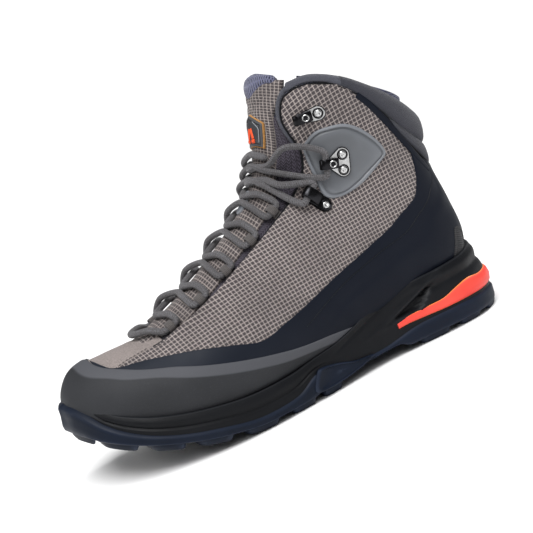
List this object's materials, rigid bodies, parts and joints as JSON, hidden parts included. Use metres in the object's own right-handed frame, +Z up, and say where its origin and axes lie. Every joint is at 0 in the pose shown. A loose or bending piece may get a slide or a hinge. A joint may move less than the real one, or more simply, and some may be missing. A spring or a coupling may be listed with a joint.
{
  "type": "hiking boot",
  "caption": "Left mid-cut lace-up hiking boot with lugged sole, rubber toe rand, ripstop upper, speed hooks and a padded tongue whose top folds.",
  "frame": {"origin": "on the ground under the middle of the boot's box", "axes": "+X from toe to heel, so the toe points along -X; -Y is the outer (lateral) side; +Z up"},
  "size_m": [0.316, 0.1097, 0.2023],
  "materials": {
    "outsole_rubber": "matte navy rubber",
    "midsole_eva": "matte black moulded foam",
    "strip_foam": "satin coral strip",
    "shank_steel": "brushed",
    "board": "matte fibre board",
    "lining_mesh": "soft woven mesh",
    "footbed_foam": "cloth covered foam",
    "collar_foam": "open foam",
    "vamp_cloth": "fine plain cloth",
    "rand_rubber": "matte charcoal rubber with a fine grain",
    "heel_panel": "matte textured panel",
    "pad_cloth": "dark slate stretch cloth",
    "tongue_cloth": "fine ripstop cloth",
    "badge_rubber": "matte moulded rubber",
    "keeper_tpu": "glossy moulded plastic",
    "lace_cord": "round woven cord",
    "ripstop": "ripstop with a light grid",
    "film": "semi matte film",
    "binding_tape": "woven tape",
    "ankle_tpu": "soft satin moulded patch",
    "gusset_knit": "ribbed knit",
    "webbing": "woven webbing",
    "hook_metal": "gloss black and chrome edges",
    "rivet_metal": "polished"
  },
  "bodies": {
    "boot": {"outsole": "outsole_rubber", "midsole": "midsole_eva", "heel_strip": "strip_foam", "shank": "shank_steel", "lasting_board": "board", "toe_puff": "board", "heel_counter": "board", "bootie": "lining_mesh", "footbed": "footbed_foam", "collar_padding": "collar_foam", "toe_vamp": "vamp_cloth", "toe_rand": "rand_rubber", "heel_patch": "heel_panel", "achilles_pad_upper": "pad_cloth", "achilles_pad_lower": "pad_cloth", "tongue_lower": "tongue_cloth", "tongue_keeper": "keeper_tpu", "lace": "lace_cord", "quarter_lateral": "ripstop", "overlay_lateral": "film", "collar_binding_lateral": "binding_tape", "ankle_patch_lateral": "ankle_tpu", "gusset_lateral": "gusset_knit", "lace_loop_lateral_1": "webbing", "lace_loop_lateral_2": "webbing", "lace_loop_lateral_3": "webbing", "lace_loop_lateral_4": "webbing", "lace_loop_lateral_5": "webbing", "hook_lower_lateral": "hook_metal", "hook_middle_lateral": "hook_metal", "hook_upper_lateral": "hook_metal", "rivet_lower_lateral": "rivet_metal", "rivet_middle_lateral_1": "rivet_metal", "rivet_middle_lateral_2": "rivet_metal", "rivet_upper_lateral": "rivet_metal", "quarter_medial": "ripstop", "overlay_medial": "film", "collar_binding_medial": "binding_tape", "ankle_patch_medial": "ankle_tpu", "gusset_medial": "gusset_knit", "lace_loop_medial_1": "webbing", "lace_loop_medial_2": "webbing", "lace_loop_medial_3": "webbing", "lace_loop_medial_4": "webbing", "lace_loop_medial_5": "webbing", "hook_lower_medial": "hook_metal", "hook_middle_medial": "hook_metal", "hook_upper_medial": "hook_metal", "rivet_lower_medial": "rivet_metal", "rivet_middle_medial_1": "rivet_metal", "rivet_middle_medial_2": "rivet_metal", "rivet_upper_medial": "rivet_metal"},
    "tongue_top": {"tongue_flap": "tongue_cloth", "tongue_lining": "lining_mesh", "tongue_badge": "badge_rubber"}
  },
  "joints": [
    {"name": "tongue_fold", "type": "hinge", "parent": "boot", "child": "tongue_top", "pos_m": [0.0285, 0.0029, 0.1575], "axis": [0, 1, 0], "range_deg": [-25, 8]}
  ]
}
